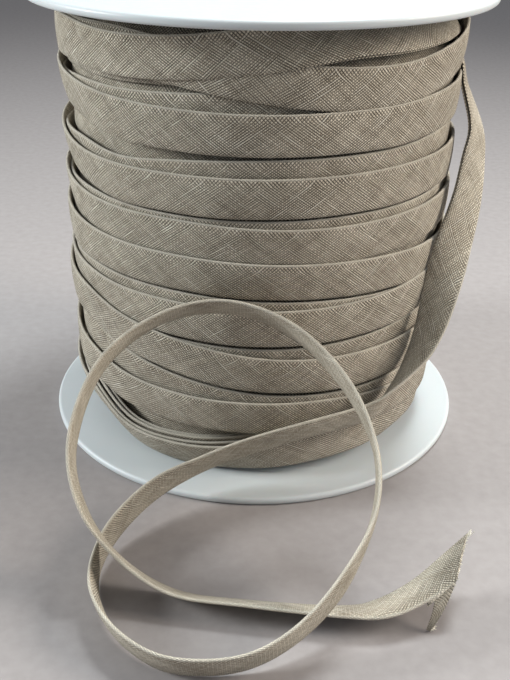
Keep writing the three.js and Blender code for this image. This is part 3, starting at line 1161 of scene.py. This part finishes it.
def disc_profile(bottom):
    points = [(0.0, 0.0, bottom * MM)]
    for height, start in ((DISC_RIM_ROUND, -math.pi / 2), (DISC_THICKNESS - DISC_RIM_ROUND, 0.0)):
        for step in range(DISC_RIM_STEPS + 1):
            angle = start + math.pi / 2 * step / DISC_RIM_STEPS
            radius = DISC_RADIUS - DISC_RIM_ROUND + DISC_RIM_ROUND * math.cos(angle)
            points.append((radius * MM, 0.0, (bottom + height + DISC_RIM_ROUND * math.sin(angle)) * MM))
    points.append((0.0, 0.0, (bottom + DISC_THICKNESS) * MM))
    return points


def turned(name, profile, tree, sides, material):
    mesh = bpy.data.meshes.new(name)
    mesh.from_pydata(profile, [(i, i + 1) for i in range(len(profile) - 1)], [])
    return run_tree(add_object(name, mesh), tree, Sides=sides, Plastic=material)


place_camera()

cotton = bias_cotton("wound_cotton", WOUND_GAP)
# A paler copy of the wound cotton for the loose end and its opened leaf: painted light.
loose_cotton = bias_cotton("loose_cotton", PAINTED_LIGHT_LOOSE_GAP)
plastic = white_plastic()
binding_tree = folded_binding_tree()
disc_tree = turned_disc_tree()
section = section_object()

# Loose end
end_points, end_length = loose_end_points()
loose_end = binding("loose_binding", end_points, section, binding_tree, loose_cotton)
leaf = opened_leaf(end_points, loose_cotton)
fray = frayed_threads(end_points, loose_thread_cotton())
for piece in (loose_end, leaf, fray):
    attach(piece, "root")
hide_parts("loose_end")

# Winding
outer_line = tabled_turns(OUTER_TURNS, OUTER_END, OUTER_RADIUS, LEAF_OPEN_DEG, OUTER_SEED)
outer = binding("outer_turns", outer_line, section, binding_tree, cotton)
under_line = tabled_turns(UNDER_TURNS, UNDER_END, UNDER_RADIUS, UNDER_OPEN_DEG, UNDER_SEED)
under = binding("under_turns", under_line, section, binding_tree, cotton)
third = binding("third_turns", third_turns(), section, binding_tree, cotton)
body = turned("wound_body", body_profile(), disc_tree, BODY_SIDES, cotton)
tucked = route_points(TUCKED_START + LOOSE_END[:2], len(TUCKED_START) + 1)
tucked = binding("tucked_start", tucked, section, binding_tree, cotton)
wound = [outer, under, third, body, tucked]
for place in range(len(FOOT_STACK)):
    wound.append(binding(f"foot_turn_{place + 1}", foot_turn(place), section, binding_tree, cotton))
for piece in wound:
    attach(piece, "root")
    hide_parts("winding")

# Reel
lower = turned("lower_disc", disc_profile(0.0), disc_tree, DISC_SIDES, plastic)
upper = turned("upper_disc", disc_profile(REEL_HEIGHT - DISC_THICKNESS), disc_tree, DISC_SIDES, plastic)
for piece, node in ((lower, "flange_bottom"), (upper, "flange_top")):
    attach(piece, "root")
    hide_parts(node)

bpy.data.objects.remove(section)


# Floor and light

FLOOR_SIDE = 6.0
LIGHT_SPREAD = math.radians(110)
REEL_MIDDLE = (0.0, -0.03, 0.06)
HOOP_MIDDLE = (0.05, -0.1, 0.0)
LIGHTS = [
    dict(
        name="left_light",
        place=(-0.85, -0.1, 0.42),
        target=REEL_MIDDLE,
        size=0.3,
        power=3.1,
        colour=(0.95, 1.0, 1.0),
    ),
    dict(
        name="right_light",
        place=(0.8, -0.1, 0.5),
        target=REEL_MIDDLE,
        size=0.5,
        power=3.2,
        colour=(1.0, 0.93, 0.83),
    ),
    dict(
        name="back_light",
        place=(0.2, 0.25, 0.9),
        target=HOOP_MIDDLE,
        size=0.3,
        power=2.8,
        colour=(0.9, 0.98, 1.0),
    ),
]
SKY_COLOUR = (0.86, 0.93, 1.0, 1.0)
SKY_STRENGTH = 0.42


def lay_floor():
    mesh = bpy.data.meshes.new("floor")
    half = FLOOR_SIDE / 2
    corners = [(-half, -half, 0), (half, -half, 0), (half, half, 0), (-half, half, 0)]
    mesh.from_pydata(corners, [], [(0, 1, 2, 3)])
    mesh.materials.append(pale_floor())
    floor = add_object("floor", mesh)


def soft_light(name, place, target, size, power, colour):
    data = bpy.data.lights.new(name, "AREA")
    data.shape = "DISK"
    data.spread = LIGHT_SPREAD
    data.size = size
    data.energy = power
    data.color = colour
    light = add_object(name, data)
    light.location = place
    light.rotation_euler = (Vector(target) - Vector(place)).to_track_quat("-Z", "Y").to_euler()


def light_scene():
    for light in LIGHTS:
        soft_light(**light)
    world = bpy.data.worlds.new("studio")
    world.use_nodes = True
    sky = world.node_tree.nodes["Background"]
    sky.inputs["Color"].default_value = SKY_COLOUR
    sky.inputs["Strength"].default_value = SKY_STRENGTH
    scene = bpy.context.scene
    scene.world = world
    scene.view_settings.view_transform = "Standard"


lay_floor()
light_scene()
